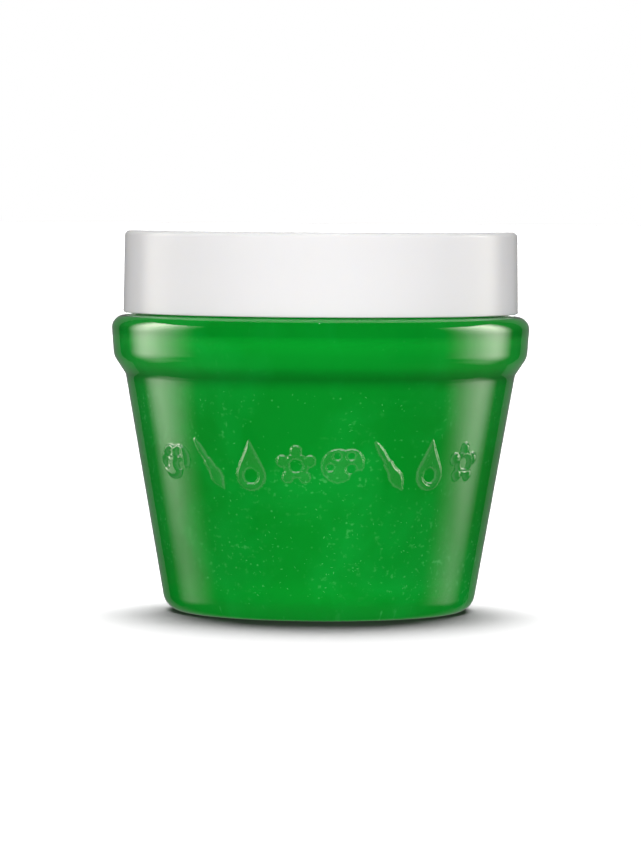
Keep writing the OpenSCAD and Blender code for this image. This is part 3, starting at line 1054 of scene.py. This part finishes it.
# The panels: their size in metres, how they curve round the jar in degrees from the front, the heights
# between which their front edge moves and their light grows, and where the light rises and falls
panel_r = 0.3
panel_low = -0.15
panel_high = 0.25
panel_arc = (40.0, 140.0)
panel_columns = 48
panel_light = 8.9
panel_colour = (1.0, 0.96, 0.86, 1)
edge_z = (-0.045, -0.018)
edge_low, edge_high, edge_full = (math.radians(angle) for angle in (76, 66, 106))
fall_start, fall_end = (math.radians(angle) for angle in (104, 126))
up_z = (-0.06, 0.16)
up_start = 0.11
panel_foot = -0.09


def glow_material(name):
    """A material with an empty node tree, for a lamp's own light, and that tree."""
    material = bpy.data.materials.new(name)
    material.use_nodes = True
    material.node_tree.nodes.clear()
    return material, material.node_tree


def only_reflected(lamp):
    """Leaves a lamp to be seen in reflections and nowhere else."""
    for ray in ("camera", "diffuse", "transmission", "volume_scatter", "shadow"):
        setattr(lamp, "visible_" + ray, False)


def panel(name, side):
    """A curved panel round one side of the jar, brightest beside it and dim towards the camera, that
    fades downwards."""
    start, stop = panel_arc
    points, faces = [], []
    for i in range(panel_columns + 1):
        angle = math.radians(start + (stop - start) * i / panel_columns)
        x, y = side * panel_r * math.sin(angle), -panel_r * math.cos(angle)
        points += [(x, y, panel_low), (x, y, panel_high)]
    for i in range(panel_columns):
        faces.append((2 * i, 2 * i + 2, 2 * i + 3, 2 * i + 1))
    mesh = bpy.data.meshes.new(name)
    mesh.from_pydata(points, [], faces)
    material, tree = glow_material(name)
    place = node(tree, "ShaderNodeSeparateXYZ",
                 {0: node(tree, "ShaderNodeTexCoord").outputs["Object"]})
    height = place.outputs["Z"]
    beside = calc(tree, "ABSOLUTE", place.outputs["X"])
    angle = calc(tree, "ARCTAN2", beside, calc(tree, "MULTIPLY", place.outputs["Y"], -1))
    edge = ramp(tree, height, *edge_z, edge_low, edge_high)
    rise = ramp(tree, angle, edge, edge_full, interpolation_type="SMOOTHSTEP")
    fall = ramp(tree, angle, fall_start, fall_end, 1.0, 0.0, interpolation_type="SMOOTHSTEP")
    up = ramp(tree, height, *up_z, up_start)
    foot = ramp(tree, height, panel_low, panel_foot)
    round_it = calc(tree, "MULTIPLY", rise, fall)
    along_it = calc(tree, "MULTIPLY", calc(tree, "MULTIPLY", up, foot), panel_light)
    glow = calc(tree, "MULTIPLY", round_it, along_it)
    light = node(tree, "ShaderNodeEmission", {"Color": panel_colour, "Strength": glow})
    node(tree, "ShaderNodeOutputMaterial", {"Surface": light.outputs[0]})
    mesh.materials.append(material)
    only_reflected(new_object(name, mesh))


panel("left_panel", -1)
panel("right_panel", 1)

glint_r = 0.02
glint_stretch = (3, 1, 1)
glint_tilt = math.radians(-3)
glint_place = (0, 0.03, 0.6)
glint_strength = 120.0
glint_mesh = bpy.data.meshes.new("glint_lamp")
bm = bmesh.new()
bmesh.ops.create_circle(bm, cap_ends=True, radius=glint_r, segments=32)
bmesh.ops.scale(bm, verts=bm.verts, vec=glint_stretch)
bmesh.ops.rotate(bm, verts=bm.verts, matrix=Matrix.Rotation(glint_tilt, 3, "X"))
bmesh.ops.translate(bm, verts=bm.verts, vec=glint_place)
bm.to_mesh(glint_mesh)
bm.free()
glint_light, glint_tree = glow_material("glint_lamp")
glow = node(glint_tree, "ShaderNodeEmission", {"Strength": glint_strength})
node(glint_tree, "ShaderNodeOutputMaterial", {"Surface": glow.outputs[0]})
glint_mesh.materials.append(glint_light)
only_reflected(new_object("glint_lamp", glint_mesh))


# ------------------------------------------------------------------- camera
# A long lens about a metre away, a little above the lid and aimed at the middle of the jar.
camera_distance = 1.015
camera_height = 0.085
camera_side = 0.0001
aim_height = 0.0371
view_angle = 9.77
sensor_w = 36
camera_roll = 0.35
camera_data = bpy.data.cameras.new("camera")
camera_data.sensor_width = sensor_w
camera_data.lens = sensor_w / 2 / math.tan(math.radians(view_angle / 2))
camera_data.clip_start = 0.01
camera = new_object("camera", camera_data)
camera.location = (camera_side, -camera_distance, camera_height)
aim = Vector((camera_side, 0, aim_height)) - camera.location
camera.rotation_euler = aim.to_track_quat("-Z", "Y").to_euler()
camera.rotation_euler.rotate_axis("Z", math.radians(camera_roll))
scene.camera = camera
